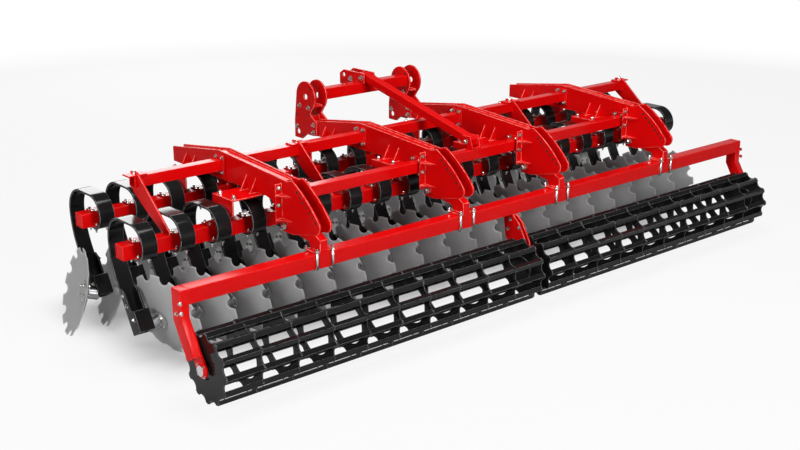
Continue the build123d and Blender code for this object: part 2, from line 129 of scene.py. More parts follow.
def mixed(node, share, first, second):
    """A colour between two, by the share of the second."""
    inputs = {"Factor": share, "A": first, "B": second}
    return node("ShaderNodeMix", inputs, data_type="RGBA").outputs["Result"]


def clouds(node, place, scale, detail):
    """Soft noise over a place."""
    inputs = {"Vector": place, "Scale": scale, "Detail": detail}
    return node("ShaderNodeTexNoise", inputs).outputs["Fac"]


def relief(node, height, strength, depth):
    """The normal of a surface with a fine relief."""
    inputs = {"Height": height, "Strength": strength, "Distance": depth}
    return node("ShaderNodeBump", inputs).outputs["Normal"]


def enamel(name, colour, shade, edge, highlight_share, smooth, rough, sheen_level):
    """Sprayed enamel: slow changes of tone and gloss, orange peel, and a painted highlight on its
    chamfered edges.
    """
    material, node, shader = new_finish(name)
    place = node("ShaderNodeTexCoord", {}).outputs["Object"]
    coat = mixed(node, clouds(node, place, DRIFT_SCALE, detail=3.0), colour, shade)
    edges = node("ShaderNodeAttribute", {}, attribute_name="edge_band").outputs["Fac"]
    grain = clouds(node, place, GRAIN_SCALE, detail=4.0)
    # Painted highlight: the edge band is mixed towards a pale edge colour, by a share that the
    # grain breaks up.
    highlight_grain = ranged(node, grain, 0.0, highlight_share, HIGHLIGHT_FROM, HIGHLIGHT_TO)
    painted_highlight = worked_out(node, "MULTIPLY", edges, highlight_grain)
    peel = clouds(node, place, 1 / PEEL_SIZE, detail=1.0)
    surface = {
        "Base Color": mixed(node, painted_highlight, coat, edge),
        "Roughness": ranged(node, grain, smooth, rough),
        "Normal": relief(node, peel, PEEL_STRENGTH, PEEL_DEPTH),
        "Specular IOR Level": sheen_level,
    }
    fill(shader, surface)
    return material


def eased_normals(piece):
    """Shades a chamfered piece as if its edges were round, and keeps that in its mesh."""
    piece.data.polygons.foreach_set("use_smooth", [True] * len(piece.data.polygons))
    shading = piece.modifiers.new("weighted", "WEIGHTED_NORMAL")
    shading.weight = NORMAL_WEIGHT
    evaluated = piece.evaluated_get(bpy.context.evaluated_depsgraph_get())
    mesh = bpy.data.meshes.new_from_object(evaluated)
    piece.modifiers.remove(shading)
    piece.data = mesh
    return piece


def in_scene(name, data):
    """A new object in the scene."""
    made = bpy.data.objects.new(name, data)
    bpy.context.scene.collection.objects.link(made)
    return made


def mesh_piece(name, form, finish):
    """A new object in the scene from a bmesh, with one finish."""
    mesh = bpy.data.meshes.new(name)
    form.to_mesh(mesh)
    form.free()
    mesh.materials.append(finish)
    return in_scene(name, mesh)


def merged_form(node):
    """A CAD node's form as one closed mesh, with its flat faces cut into few triangles."""
    mesh = frame["nodes"][node].data.copy()
    if "custom_normal" in mesh.attributes:
        mesh.attributes.remove(mesh.attributes["custom_normal"])
    form = bmesh.new()
    form.from_mesh(mesh)
    bpy.data.meshes.remove(mesh)
    bmesh.ops.remove_doubles(form, verts=form.verts, dist=SAME_POINT)
    bmesh.ops.dissolve_limit(form, angle_limit=FLAT_ANGLE, verts=form.verts, edges=form.edges)
    bmesh.ops.triangulate(form, faces=form.faces, ngon_method="BEAUTY")
    return form


def chamfer(form, width):
    """Breaks the hard edges of a form, and marks the new faces as its edge band."""
    hard = [e for e in form.edges if len(e.link_faces) == 2 and e.calc_face_angle() > HARD_ANGLE]
    band = form.faces.layers.float.new("edge_band")
    cut = bmesh.ops.bevel(
        form, geom=hard, offset=width, segments=1, affect="EDGES", clamp_overlap=False
    )
    for face in cut["faces"]:
        face[band] = 1.0


def fitted(piece, body):
    """Lets a piece ride on its body."""
    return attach(piece, body)


def rounded(node, name, width, finish, body="frame"):
    """A piece that stands for a CAD node, with the node's form and its edges broken."""
    form = merged_form(node)
    chamfer(form, width)
    piece = eased_normals(mesh_piece(name, form, finish))
    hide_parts(node)
    return fitted(piece, body)


def solid_boxes(node):
    """The lowest and highest corner of each separate solid of a CAD node, left to right."""
    form = bmesh.new()
    form.from_mesh(frame["nodes"][node].data)
    bmesh.ops.remove_doubles(form, verts=form.verts, dist=SAME_POINT)
    waiting = set(form.verts)
    boxes = []
    while waiting:
        reached = [waiting.pop()]
        low = reached[0].co.copy()
        high = reached[0].co.copy()
        while reached:
            vertex = reached.pop()
            low = Vector(map(min, low, vertex.co))
            high = Vector(map(max, high, vertex.co))
            for edge in vertex.link_edges:
                other = edge.other_vert(vertex)
                if other in waiting:
                    waiting.remove(other)
                    reached.append(other)
        boxes.append((low, high))
    form.free()
    return sorted(boxes, key=lambda box: (round(box[0].x, 3), box[0].y))


def blocks(name, corners, width, body="frame"):
    """One red piece from blocks given by their corners, with broken edges."""
    form = bmesh.new()
    for low, high in corners:
        low = Vector(low)
        size = Vector(high) - low
        place = Matrix.Translation(low + size / 2) @ Matrix.Diagonal((*size, 1.0))
        bmesh.ops.create_cube(form, size=1.0, matrix=place)
    chamfer(form, width)
    piece = eased_normals(mesh_piece(name, form, red_enamel))
    return fitted(piece, body)


red_enamel = enamel("red_enamel", RED, RED_SHADE, RED_HIGHLIGHT, highlight_share=0.4, **RED_GLOSS)
rounded("row_beams", "row_beam_sections", BEAM_BREAK, red_enamel)
beam_caps = []
for low, high in solid_boxes("row_beams"):
    inner_low = low + Vector((0, BEAM_WALL, BEAM_WALL))
    inner_high = high - Vector((0, BEAM_WALL, BEAM_WALL))
    for end in (low.x + CAP_INSET, high.x - CAP_INSET - CAP_THICK):
        near = (end, inner_low.y, inner_low.z)
        beam_caps.append((near, (end + CAP_THICK, inner_high.y, inner_high.z)))
blocks("row_beam_caps", beam_caps, CAP_BREAK)

# Longitudinal arms: four pairs of profiled 12 mm plates with a strip welded in along the top,
# a drilled flange across the rear and ears that reach down to the roller frame's pivots.
# The plates are laser cut and welded, and the pivot bolts are zinc plated.
# Paler red of a stronger painted edge highlight on the plates.
PLATE_HIGHLIGHT = (0.95, 0.28, 0.24, 1.0)
ZINC = (0.74, 0.73, 0.70, 1.0)
ZINC_DULL = (0.56, 0.55, 0.52, 1.0)
# Dark reds of the painted shade inside drilled holes.
HOLE_RED = (0.05, 0.004, 0.004, 1.0)
HOLE_DARK = (0.02, 0.002, 0.002, 1.0)
METAL_BUMP = 0.3
RELIEF_FINER = 9
PLATE_BREAK = 0.0022
ARM_FACE = 0.046
PIVOT_FACE = 0.062
PIVOT_BOLT = (0.026, 0.006)
FLANGE_REAR = -0.396
FLANGE_SPOTS = ((0.070, 0.914), (0.068, 1.017))
FLANGE_BOLT = (0.020, 0.005)
EAR_HOLES = 7
EAR_HOLE_FIRST = Vector((0.0, -0.109, 0.227))
EAR_HOLE_LAST = Vector((0.0, -0.283, 0.080))
EAR_HOLE_RADIUS = 0.0095
HOLE_SINK = 0.002
HOLE_MARK = 0.0026
PLUG_BREAK = 0.0015
PLUG_BREAK_SHARE = 0.3
HEXAGON = 6
CROWN_SHARE = 0.2
CROWN_TAPER = 0.8
WASHER_SIDES = 18
THREAD_SIDES = 12
LEFT = Vector((-1, 0, 0))
RIGHT = Vector((1, 0, 0))
BACK = Vector((0, -1, 0))
UP = Vector((0, 0, 1))
DOWN = Vector((0, 0, -1))


def metal(name, colour, dull, smooth, rough, scale, bump_depth=0.0002, metallic=1.0):
    """Bare or plated metal with cloudy colour and gloss and a fine relief."""
    material, node, shader = new_finish(name)
    place = node("ShaderNodeTexCoord", {}).outputs["Object"]
    cloud = clouds(node, place, scale, detail=5.0)
    skin = clouds(node, place, scale * RELIEF_FINER, detail=3.0)
    surface = {
        "Base Color": mixed(node, cloud, colour, dull),
        "Roughness": ranged(node, cloud, smooth, rough),
        "Normal": relief(node, skin, METAL_BUMP, bump_depth),
        "Metallic": metallic,
    }
    fill(shader, surface)
    return material


def tree_with(name, sockets):
    """A Geometry Nodes tree: the function that adds its nodes, its inputs and its last node."""
    tree = bpy.data.node_groups.new(name, "GeometryNodeTree")
    tree.interface.new_socket("Geometry", in_out="INPUT", socket_type="NodeSocketGeometry")
    for socket, kind in sockets.items():
        tree.interface.new_socket(socket, in_out="INPUT", socket_type="NodeSocket" + kind)
    tree.interface.new_socket("Geometry", in_out="OUTPUT", socket_type="NodeSocketGeometry")
    source = tree.nodes.new("NodeGroupInput")
    result = tree.nodes.new("NodeGroupOutput")
    return tree, partial(new_node, tree), source.outputs, result


def end_tree(node, instances, finish, result):
    """Makes a tree's instances real and gives them their finish."""
    real = node("GeometryNodeRealizeInstances", {"Geometry": instances})
    inputs = {"Geometry": real.outputs["Geometry"], "Material": finish}
    painted = node("GeometryNodeSetMaterial", inputs)
    fill(result, {"Geometry": painted.outputs["Geometry"]})


def lifted(node, shape, height):
    """A shape moved up by a height."""
    rise = node("ShaderNodeCombineXYZ", {"Z": height}).outputs["Vector"]
    moved = node("GeometryNodeTransform", {"Geometry": shape, "Translation": rise})
    return moved.outputs["Geometry"]


def pin(node, sides, radius, length):
    """A round pin about the Z axis."""
    inputs = {"Vertices": sides, "Radius": radius, "Depth": length}
    return node("GeometryNodeMeshCylinder", inputs).outputs["Mesh"]


def bolt_tree():
    """Hexagon heads on washers at the points of a mesh, each turned about its own axis."""
    sockets = {
        "Head Radius": "Float",
        "Head Height": "Float",
        "Washer Radius": "Float",
        "Washer Thickness": "Float",
        "Thread Radius": "Float",
        "Thread Length": "Float",
        "Seed": "Int",
        "Finish": "Material",
    }
    tree, node, given, result = tree_with("hexagon_bolts", sockets)
    tall, washer, thread = (given[n] for n in ("Head Height", "Washer Thickness", "Thread Length"))
    hexagon = node(
        "GeometryNodeMeshCircle",
        {"Vertices": HEXAGON, "Radius": given["Head Radius"]},
        fill_type="NGON",
    )
    side = node(
        "GeometryNodeExtrudeMesh",
        {
            "Mesh": hexagon.outputs["Mesh"],
            "Offset Scale": worked_out(node, "MULTIPLY", tall, 1 - CROWN_SHARE),
        },
    )
    crown = node(
        "GeometryNodeExtrudeMesh",
        {
            "Mesh": side.outputs["Mesh"],
            "Selection": side.outputs["Top"],
            "Offset Scale": worked_out(node, "MULTIPLY", tall, CROWN_SHARE),
        },
    )
    head = node(
        "GeometryNodeScaleElements",
        {
            "Geometry": crown.outputs["Mesh"],
            "Selection": crown.outputs["Top"],
            "Scale": CROWN_TAPER,
        },
    )
    half_washer = worked_out(node, "MULTIPLY", washer, 0.5)
    half_thread = worked_out(node, "MULTIPLY", thread, 0.5)
    top = worked_out(node, "ADD", washer, tall)
    parts = (
        lifted(node, head.outputs["Geometry"], washer),
        lifted(node, pin(node, WASHER_SIDES, given["Washer Radius"], washer), half_washer),
        lifted(
            node,
            pin(node, THREAD_SIDES, given["Thread Radius"], thread),
            worked_out(node, "ADD", half_thread, top),
        ),
    )
    bolt = node("GeometryNodeJoinGeometry", {})
    for part in parts:
        fill(bolt, {"Geometry": part})
    facing = node("GeometryNodeInputNamedAttribute", {"Name": "facing"}, data_type="FLOAT_VECTOR")
    turned = node(
        "FunctionNodeAlignRotationToVector", {"Vector": facing.outputs["Attribute"]}, axis="Z"
    )
    placed = node(
        "GeometryNodeInstanceOnPoints",
        {
            "Points": given["Geometry"],
            "Instance": bolt.outputs["Geometry"],
            "Rotation": turned.outputs["Rotation"],
        },
    )
    chance = node(
        "FunctionNodeRandomValue", {"Max": math.tau, "Seed": given["Seed"]}, data_type="FLOAT"
    )
    twist = node("ShaderNodeCombineXYZ", {"Z": chance.outputs["Value"]})
    spun = node(
        "GeometryNodeRotateInstances",
        {"Instances": placed.outputs["Instances"], "Rotation": twist.outputs["Vector"]},
    )
    end_tree(node, spun.outputs["Instances"], given["Finish"], result)
    return tree


def grown(name, mesh, tree, values):
    """A plain mesh piece, made by a Geometry Nodes tree from a base mesh and its inputs."""
    piece = in_scene(name, mesh)
    modifier = piece.modifiers.new("grow", "NODES")
    modifier.node_group = tree
    for item in tree.interface.items_tree:
        if item.in_out == "INPUT" and item.name in values:
            modifier[item.identifier] = values[item.name]
    evaluated = piece.evaluated_get(bpy.context.evaluated_depsgraph_get())
    made = bpy.data.meshes.new_from_object(evaluated)
    piece.modifiers.remove(modifier)
    piece.data = made
    return piece


def bolts(name, places, across, thread, body="frame"):
    """Bolt heads or nuts at places (point, direction), from their width and their thread."""
    mesh = bpy.data.meshes.new(name)
    mesh.from_pydata([tuple(point) for point, facing in places], [], [])
    ways = mesh.attributes.new("facing", "FLOAT_VECTOR", "POINT")
    for way, (point, facing) in zip(ways.data, places):
        way.vector = facing
    sizes = {
        "Head Radius": across / math.sqrt(3),
        "Head Height": across * 0.62,
        "Washer Radius": across * 0.82,
        "Washer Thickness": across * 0.12,
        "Thread Radius": across * 0.31,
        "Thread Length": thread,
        "Seed": len(places),
        "Finish": zinc_plate,
    }
    return fitted(grown(name, mesh, hexagon_bolts, sizes), body)


def plugs(name, places, radius, proud, finish, body="frame", steps=20):
    """Short round plugs at places (point, direction): caps and the dark of holes."""
    form = bmesh.new()
    for point, facing in places:
        turn = Vector(facing).to_track_quat("Z", "Y").to_matrix().to_4x4()
        place = Matrix.Translation(point) @ turn @ Matrix.Translation((0, 0, proud / 2))
        round_form = {"segments": steps, "radius1": radius, "radius2": radius, "depth": proud}
        bmesh.ops.create_cone(form, cap_ends=True, matrix=place, **round_form)
    chamfer(form, min(PLUG_BREAK, proud * PLUG_BREAK_SHARE))
    return fitted(eased_normals(mesh_piece(name, form, finish)), body)


zinc_plate = metal("zinc_plate", ZINC, ZINC_DULL, smooth=0.16, rough=0.34, scale=55.0)
hole_shade = metal(
    "hole_shade", HOLE_RED, HOLE_DARK, smooth=0.6, rough=0.9, scale=30.0, metallic=0.0
)
plate_enamel = enamel("plate_enamel", RED, RED_SHADE, PLATE_HIGHLIGHT, highlight_share=0.9, **RED_GLOSS)
hexagon_bolts = bolt_tree()
joints = {joint["name"]: joint for joint in frame["joints"]}
pivot = Vector(joints["roller_depth"]["pos_m"])
arm_middles = []
for arms in ("outer", "inner"):
    rounded("arms_" + arms, arms + "_arm_plates", PLATE_BREAK, plate_enamel)
    arm_middles += [(low.x + high.x) / 2 for low, high in solid_boxes("arms_" + arms)]
arm_middles.sort()
pivot_bolts = []
flange_bolts = []
ear_holes = []
for x in arm_middles:
    for side in (LEFT, RIGHT):
        cheek = x + side.x * ARM_FACE
        pivot_bolts.append((Vector((x + side.x * PIVOT_FACE, pivot.y, pivot.z)), side))
        for aside, z in FLANGE_SPOTS:
            flange_bolts.append((Vector((x + side.x * aside, FLANGE_REAR, z)), BACK))
        for i in range(EAR_HOLES):
            spot = pivot + EAR_HOLE_FIRST.lerp(EAR_HOLE_LAST, i / (EAR_HOLES - 1))
            ear_holes.append((Vector((cheek - side.x * HOLE_SINK, spot.y, spot.z)), side))
bolts("arm_pivot_bolts", pivot_bolts, *PIVOT_BOLT)
bolts("arm_flange_bolts", flange_bolts, *FLANGE_BOLT)
plugs("arm_ear_holes", ear_holes, EAR_HOLE_RADIUS, HOLE_MARK, hole_shade)

# Saddles: plates under the arms with welded ends and gussets, which reach down between the
# shanks to the row beams. Two bolts on each side of an arm hold the plate down, and two more
# stand in each end.
SADDLE_BOLT_IN = 0.034
SADDLE_BOLT_SIDE = 0.075
SADDLE_TOP = 0.930
SADDLE_BOLT = (0.022, 0.006)
SADDLE_END_SPOTS = (-0.028, 0.03)
SADDLE_END_HEIGHT = 0.843
SADDLE_END_BOLT = (0.019, 0.004)
rounded("saddles", "saddle_plates", PLATE_BREAK, plate_enamel)
saddle_bolts = []
end_bolts = []
for low, high in solid_boxes("saddles"):
    middle = (low.y + high.y) / 2
    for x in (low.x + SADDLE_BOLT_IN, high.x - SADDLE_BOLT_IN):
        for y in (middle - SADDLE_BOLT_SIDE, middle + SADDLE_BOLT_SIDE):
            saddle_bolts.append((Vector((x, y, SADDLE_TOP)), UP))
    for aside in SADDLE_END_SPOTS:
        end_bolts.append((Vector((low.x, middle + aside, SADDLE_END_HEIGHT)), LEFT))
        end_bolts.append((Vector((high.x, middle + aside, SADDLE_END_HEIGHT)), RIGHT))
bolts("saddle_bolts", saddle_bolts, *SADDLE_BOLT)
bolts("saddle_end_bolts", end_bolts, *SADDLE_END_BOLT)

# Cross tubes: square sections of 70 mm between the arms, with a drilled flange at each end
# that is bolted through the arm's plate, and stubs outside the outer arms.
TUBE_BREAK = 0.003
TUBE_FLANGE = 0.012
TUBE_BOLT_Y = 0.034
TUBE_BOLT_Z = 0.046
TUBE_BOLT = (0.017, 0.003)
NEAR_ARM = 0.06
rounded("cross_tubes", "cross_tube_sections", TUBE_BREAK, red_enamel)
tube_bolts = []
for low, high in solid_boxes("cross_tubes"):
    y = (low.y + high.y) / 2
    z = (low.z + high.z) / 2
    for end, side in ((low.x, RIGHT), (high.x, LEFT)):
        if min(abs(end - x) for x in arm_middles) < NEAR_ARM:
            for dy in (-TUBE_BOLT_Y, TUBE_BOLT_Y):
                for dz in (-TUBE_BOLT_Z, TUBE_BOLT_Z):
                    spot = Vector((end + side.x * TUBE_FLANGE, y + dy, z + dz))
                    tube_bolts.append((spot, side))
bolts("cross_tube_bolts", tube_bolts, *TUBE_BOLT)

# Hangers: curved plates that are clamped on the front cross tube and welded to the rear row
# beam. A short clamp plate with one bolt closes each one over the tube.
CLAMP_HALF = 0.062
CLAMP_REAR = 0.215
CLAMP_FRONT = 0.295
CLAMP_FOOT = 1.064
CLAMP_TOP = 1.074
CLAMP_BREAK = 0.0015
CLAMP_BOLT = (0.022, 0.007)
rounded("hangers", "hanger_plates", PLATE_BREAK, plate_enamel)
hanger_clamps = []
hanger_bolts = []
for low, high in solid_boxes("hangers"):
    x = (low.x + high.x) / 2
    near = (x - CLAMP_HALF, CLAMP_REAR, CLAMP_FOOT)
    hanger_clamps.append((near, (x + CLAMP_HALF, CLAMP_FRONT, CLAMP_TOP)))
    hanger_bolts.append((Vector((x, (CLAMP_REAR + CLAMP_FRONT) / 2, CLAMP_TOP)), UP))
blocks("hanger_clamp_plates", hanger_clamps, CLAMP_BREAK)
bolts("hanger_bolts", hanger_bolts, *CLAMP_BOLT)

# Headstock: two towers of twin plates with round heads, a square tube between them, the top
# link's twin-plate bracket, and a long brace back to the rear cross tube. The towers are
# bolted to the inner arms, and bolts hold the brace in the bracket and at its foot.
TOWER_BREAK = 0.0025
BRACKET_BREAK = 0.002
TOWER_X = 0.45
TOWER_FACE = 0.058
TOWER_SPOTS = ((0.792, 0.954), (0.79, 1.009), (0.985, 0.969), (0.845, 1.124), (0.952, 1.129))
TOWER_BOLT = (0.021, 0.006)
HEAD_HOLES = ((0.83, 1.264), (0.955, 1.252), (0.835, 1.139))
LINK_HOLES = ((0.985, 1.054), (0.93, 0.909), (0.86, 1.069))
TOWER_HOLE_RADIUS = 0.009
BRACE_SPOTS = ((0.051, 0.805, 1.292), (0.051, 0.93, 1.269), (0.042, -0.302, 1.021))
BRACE_BOLT = (0.025, 0.006)
rounded("headstock_uprights", "headstock_towers", TOWER_BREAK, plate_enamel)
rounded("headstock_tube", "headstock_cross_tube", BEAM_BREAK, red_enamel)
rounded("top_link_bracket", "top_link_plates", BRACKET_BREAK, plate_enamel)
rounded("brace", "headstock_brace", TUBE_BREAK, red_enamel)
tower_bolts = []
tower_holes = []
for x in (-TOWER_X, TOWER_X):
    for side in (LEFT, RIGHT):
        face = x + side.x * TOWER_FACE
        for y, z in TOWER_SPOTS:
            tower_bolts.append((Vector((face, y, z)), side))
        for y, z in HEAD_HOLES + LINK_HOLES:
            tower_holes.append((Vector((face - side.x * HOLE_SINK, y, z)), side))
brace_bolts = [
    (Vector((side.x * aside, y, z)), side) for side in (LEFT, RIGHT) for aside, y, z in BRACE_SPOTS
]
bolts("headstock_tower_bolts", tower_bolts, *TOWER_BOLT)
plugs("headstock_holes", tower_holes, TOWER_HOLE_RADIUS, HOLE_MARK, hole_shade)
bolts("brace_pins", brace_bolts, *BRACE_BOLT)

# Spring shanks: flat bars of 100 by 14 mm spring steel, bent into a loop round their beam and
# then down and back to the disc. They are oil quenched and dipped in gloss black enamel. A red
# clamp plate over the beam, a shelf behind it and their bolts hold each one.
BLACK = (0.007, 0.007, 0.0074, 1.0)
BLACK_SHADE = (0.011, 0.011, 0.0114, 1.0)
# Grey of the painted highlight on the black enamel's edges and the bars' eased corners.
BLACK_HIGHLIGHT = (0.24, 0.24, 0.245, 1.0)
BAND_WIDTH = 0.100
BAND_THICK = 0.014
BAND_CORNER = 0.003
CORNER_CUTS = 2
FLAT_NORMAL = 0.08
SIDE_NORMAL = 0.99
HALF_BEAM = 0.045
LOOP_START = -0.050
LOOP_REAR = 0.080
LOOP_TOP = 0.122
LOOP_FRONT = 0.150
LOOP_FLAT = 0.133
REAR_STEPS = 9
TOP_STEPS = 12
FRONT_STEPS = 13
LEG_RADIUS = 0.49946
LEG_SWING = 30.7
LEG_STRAIGHT = 0.215
LEG_STEPS = 8


def arc(centre, radius, start, end, steps):
    """Points of an arc in the YZ plane from one angle to another, in degrees."""
    angles = [math.radians(start + (end - start) * i / steps) for i in range(steps + 1)]
    return [(centre[0] + radius * math.cos(a), centre[1] + radius * math.sin(a)) for a in angles]


def shank_path():
    """The bar's centre line from the side, with the beam's centre at 0, 0."""
    under = -HALF_BEAM - BAND_THICK / 2
    rear = LOOP_START - LOOP_REAR
    top = under + LOOP_REAR + LOOP_TOP
    path = [(HALF_BEAM, under)]
    path += arc((LOOP_START, under + LOOP_REAR), LOOP_REAR, 270, 180, REAR_STEPS)
    path += arc((rear + LOOP_TOP, under + LOOP_REAR), LOOP_TOP, 180, 90, TOP_STEPS)[1:]
    bend = (rear + LOOP_TOP + LOOP_FLAT, top - LOOP_FRONT)
    path += arc(bend, LOOP_FRONT, 90, 0, FRONT_STEPS)
    leg = (rear + LOOP_TOP + LOOP_FLAT + LOOP_FRONT - LEG_RADIUS, top - LOOP_FRONT)
    path += arc(leg, LEG_RADIUS, 0, -LEG_SWING, LEG_STEPS)[1:]
    swing = math.radians(LEG_SWING)
    foot = (
        path[-1][0] - LEG_STRAIGHT * math.sin(swing),
        path[-1][1] - LEG_STRAIGHT * math.cos(swing),
    )
    return path + [foot]


def shank_tree():
    """A flat bar with eased corners along a path, set at each point of a mesh."""
    sockets = {
        "Path": "Object",
        "Width": "Float",
        "Thickness": "Float",
        "Corner": "Float",
        "Finish": "Material",
    }
    tree, node, given, result = tree_with("spring_shanks", sockets)
    line = node("GeometryNodeObjectInfo", {"Object": given["Path"]})
    section = node(
        "GeometryNodeCurvePrimitiveQuadrilateral",
        {"Width": given["Width"], "Height": given["Thickness"]},
    )
    eased = node(
        "GeometryNodeFilletCurve",
        {
            "Curve": section.outputs["Curve"],
            "Radius": given["Corner"],
            "Count": CORNER_CUTS,
        },
        mode="POLY",
    )
    bar = node(
        "GeometryNodeCurveToMesh",
        {
            "Curve": line.outputs["Geometry"],
            "Profile Curve": eased.outputs["Curve"],
            "Fill Caps": True,
        },
    )
    # The bar's eased corners are marked as its edge band, where the black enamel paints a
    # highlight.
    normal = node("GeometryNodeInputNormal", {})
    parts = node("ShaderNodeSeparateXYZ", {"Vector": normal.outputs["Normal"]})
    across = worked_out(node, "ABSOLUTE", parts.outputs["X"])
    off_flat = worked_out(node, "GREATER_THAN", across, FLAT_NORMAL)
    off_side = worked_out(node, "LESS_THAN", across, SIDE_NORMAL)
    marked = node(
        "GeometryNodeStoreNamedAttribute",
        {
            "Geometry": bar.outputs["Mesh"],
            "Name": "edge_band",
            "Value": worked_out(node, "MULTIPLY", off_flat, off_side),
        },
        data_type="FLOAT",
        domain="FACE",
    )
    placed = node(
        "GeometryNodeInstanceOnPoints",
        {"Points": given["Geometry"], "Instance": marked.outputs["Geometry"]},
    )
    end_tree(node, placed.outputs["Instances"], given["Finish"], result)
    return tree


black_enamel = enamel(
    "black_enamel",
    BLACK,
    BLACK_SHADE,
    BLACK_HIGHLIGHT,
    highlight_share=0.7,
    smooth=0.08,
    rough=0.18,
    sheen_level=0.20,
)
beam_middle = {}
for low, high in solid_boxes("row_beams"):
    beam_middle["front" if low.y > 0 else "rear"] = (low + high) / 2
leg_places = {
    row: [(low.x + high.x) / 2 for low, high in solid_boxes("shanks_" + row)]
    for row in beam_middle
}
side_line = shank_path()
path_curve = bpy.data.curves.new("shank_path", "CURVE")
path_curve.dimensions = "3D"
spline = path_curve.splines.new("POLY")
spline.points.add(len(side_line) - 1)
for point, (y, z) in zip(spline.points, side_line):
    point.co = (0.0, y, z, 1.0)
path_object = in_scene("shank_path", path_curve)
spring_shanks = shank_tree()
for row, legs in leg_places.items():
    middle = beam_middle[row]
    stand = bpy.data.meshes.new("shank_places_" + row)
    stand.from_pydata([(x, middle.y, middle.z) for x in legs], [], [])
    sizes = {
        "Path": path_object,
        "Width": BAND_WIDTH,
        "Thickness": BAND_THICK,
        "Corner": BAND_CORNER,
        "Finish": black_enamel,
    }
    shanks = eased_normals(grown(row + "_spring_shanks", stand, spring_shanks, sizes))
    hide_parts("shanks_" + row)
    fitted(shanks, "frame")
bpy.data.objects.remove(path_object)

HOLDER_HALF = 0.052
PLATE_HALF = 0.043
PLATE_THICK = 0.008
SHELF_DEEP = 0.030
SHELF_THICK = 0.010
SHELF_LIFT = 0.003
BOLT_SIDE = 0.036
HEAD_SPOTS = (-0.026, 0.026)
SHELF_SPOT = 0.016
REAR_NUT = 0.002
FRONT_NUT = 0.028
HOLDER_BOLT = (0.016, 0.003)
HOLDER_NUT = (0.018, 0.012)
for row, legs in leg_places.items():
    middle = beam_middle[row]
    rear = middle.y - HALF_BEAM
    top = middle.z + HALF_BEAM
    foot = middle.z - HALF_BEAM
    shelf = foot + SHELF_LIFT
    plates = []
    heads = []
    nuts = []
    for x in legs:
        left, right = x - HOLDER_HALF, x + HOLDER_HALF
        near = (left, middle.y - PLATE_HALF, top)
        plates.append((near, (right, middle.y + PLATE_HALF, top + PLATE_THICK)))
        plates.append(((left, rear - SHELF_DEEP, shelf), (right, rear, shelf + SHELF_THICK)))
        for side in (-BOLT_SIDE, BOLT_SIDE):
            for aside in HEAD_SPOTS:
                heads.append((Vector((x + side, middle.y + aside, top + PLATE_THICK)), UP))
            heads.append((Vector((x + side, rear - SHELF_SPOT, shelf + SHELF_THICK)), UP))
            for y in (rear - REAR_NUT, middle.y + FRONT_NUT):
                nuts.append((Vector((x + side, y, foot - BAND_THICK)), DOWN))
    blocks(row + "_shank_clamps", plates, CLAMP_BREAK)
    bolts(row + "_clamp_bolts", heads, *HOLDER_BOLT)
    bolts(row + "_clamp_nuts", nuts, *HOLDER_NUT)

# Disc carriers: welded boxes that are bolted over the shanks' feet, each with the bearing
# barrel of its disc. They are painted with the same black enamel. Three plated bolts pass
# through each cheek, and the barrel is bare turned steel.
STEEL = (0.52, 0.53, 0.54, 1.0)
STEEL_DULL = (0.40, 0.41, 0.42, 1.0)
CARRIER_HALF = 0.050
CARRIER_SPOTS = ((0.095, 0.028), (0.160, 0.030), (0.255, 0.066))
CARRIER_BOLT = (0.016, 0.004)
BARREL_RADIUS = 0.0365
BARREL_END = 0.090
SIDE_WALL = 0.98
turned_steel = metal("turned_steel", STEEL, STEEL_DULL, smooth=0.22, rough=0.4, scale=40.0)
swing = math.radians(LEG_SWING)
down_leg = Vector((0, -math.sin(swing), -math.cos(swing)))
behind_leg = Vector((0, -math.cos(swing), math.sin(swing)))
leg_top = Vector((0, *side_line[-2]))


def on_barrel(polygon, axles):
    """Whether a face of the carriers is part of a bearing barrel."""
    if abs(polygon.normal.x) > SIDE_WALL:
        return False
    for point, along in axles:
        away = polygon.center - point
        height = away.dot(along)
        if -BARREL_END < height < 0 and (away - along * height).length < BARREL_RADIUS:
            return True
    return False


for row, legs in leg_places.items():
    carriers = rounded(
        "carriers_" + row, row + "_disc_carriers", PLATE_BREAK, black_enamel
    )
    axles = [
        (Vector(joint["pos_m"]), Vector(joint["axis"]).normalized())
        for name, joint in joints.items()
        if name.startswith("disc_" + row)
    ]
    carriers.data.materials.append(turned_steel)
    for polygon in carriers.data.polygons:
        if on_barrel(polygon, axles):
            polygon.material_index = 1
    cheek_bolts = []
    for x in legs:
        for along, behind in CARRIER_SPOTS:
            spot = beam_middle[row] + leg_top + down_leg * along + behind_leg * behind
            for side in (LEFT, RIGHT):
                cheek_bolts.append((Vector((x + side.x * CARRIER_HALF, spot.y, spot.z)), side))
    bolts(row + "_carrier_bolts", cheek_bolts, *CARRIER_BOLT)

# Discs: dished blades of hardened 6 mm boron steel, 560 mm across, with twelve round notches.
# Each is bolted to a hub whose spindle turns in the carrier's barrel. The blades are laser cut
# and pressed hot, so that their grey skin carries faint rings, and their rims are ground.
BLADE_RADIUS = 0.280
BLADE_THICK = 0.006
FLAT_RADIUS = 0.056
DISH = 0.058
DISH_SQUARE = 0.56
DISH_STEPS = (0.0, 0.2, 0.42, 0.64, 0.84, 1.0)
NOTCHES = 12
NOTCH_RADIUS = 0.036
NOTCH_SWEEP = 85
NOTCH_STEPS = 8
TOOTH_STEPS = 4
TOOTH_GAP = 0.002
GROUND_RIM = 0.011
RIM_DROP = 0.0035
RIM_UNDER = 0.5
HUB_PLATE_RADIUS = 0.076
HUB_PLATE_TOP = 0.013
HUB_PLATE_BREAK = 0.002
HUB_PLATE_SIDES = 36
HUB_FROM = 0.009
HUB_FLANGE_RADIUS = 0.060
HUB_FLANGE_THICK = 0.012
HUB_FLANGE_BREAK = 0.0015
SPINDLE_RADIUS = 0.020
SPINDLE_END = 0.062
SPINDLE_SIDES = 32
SPINDLE_FROM = -0.0001
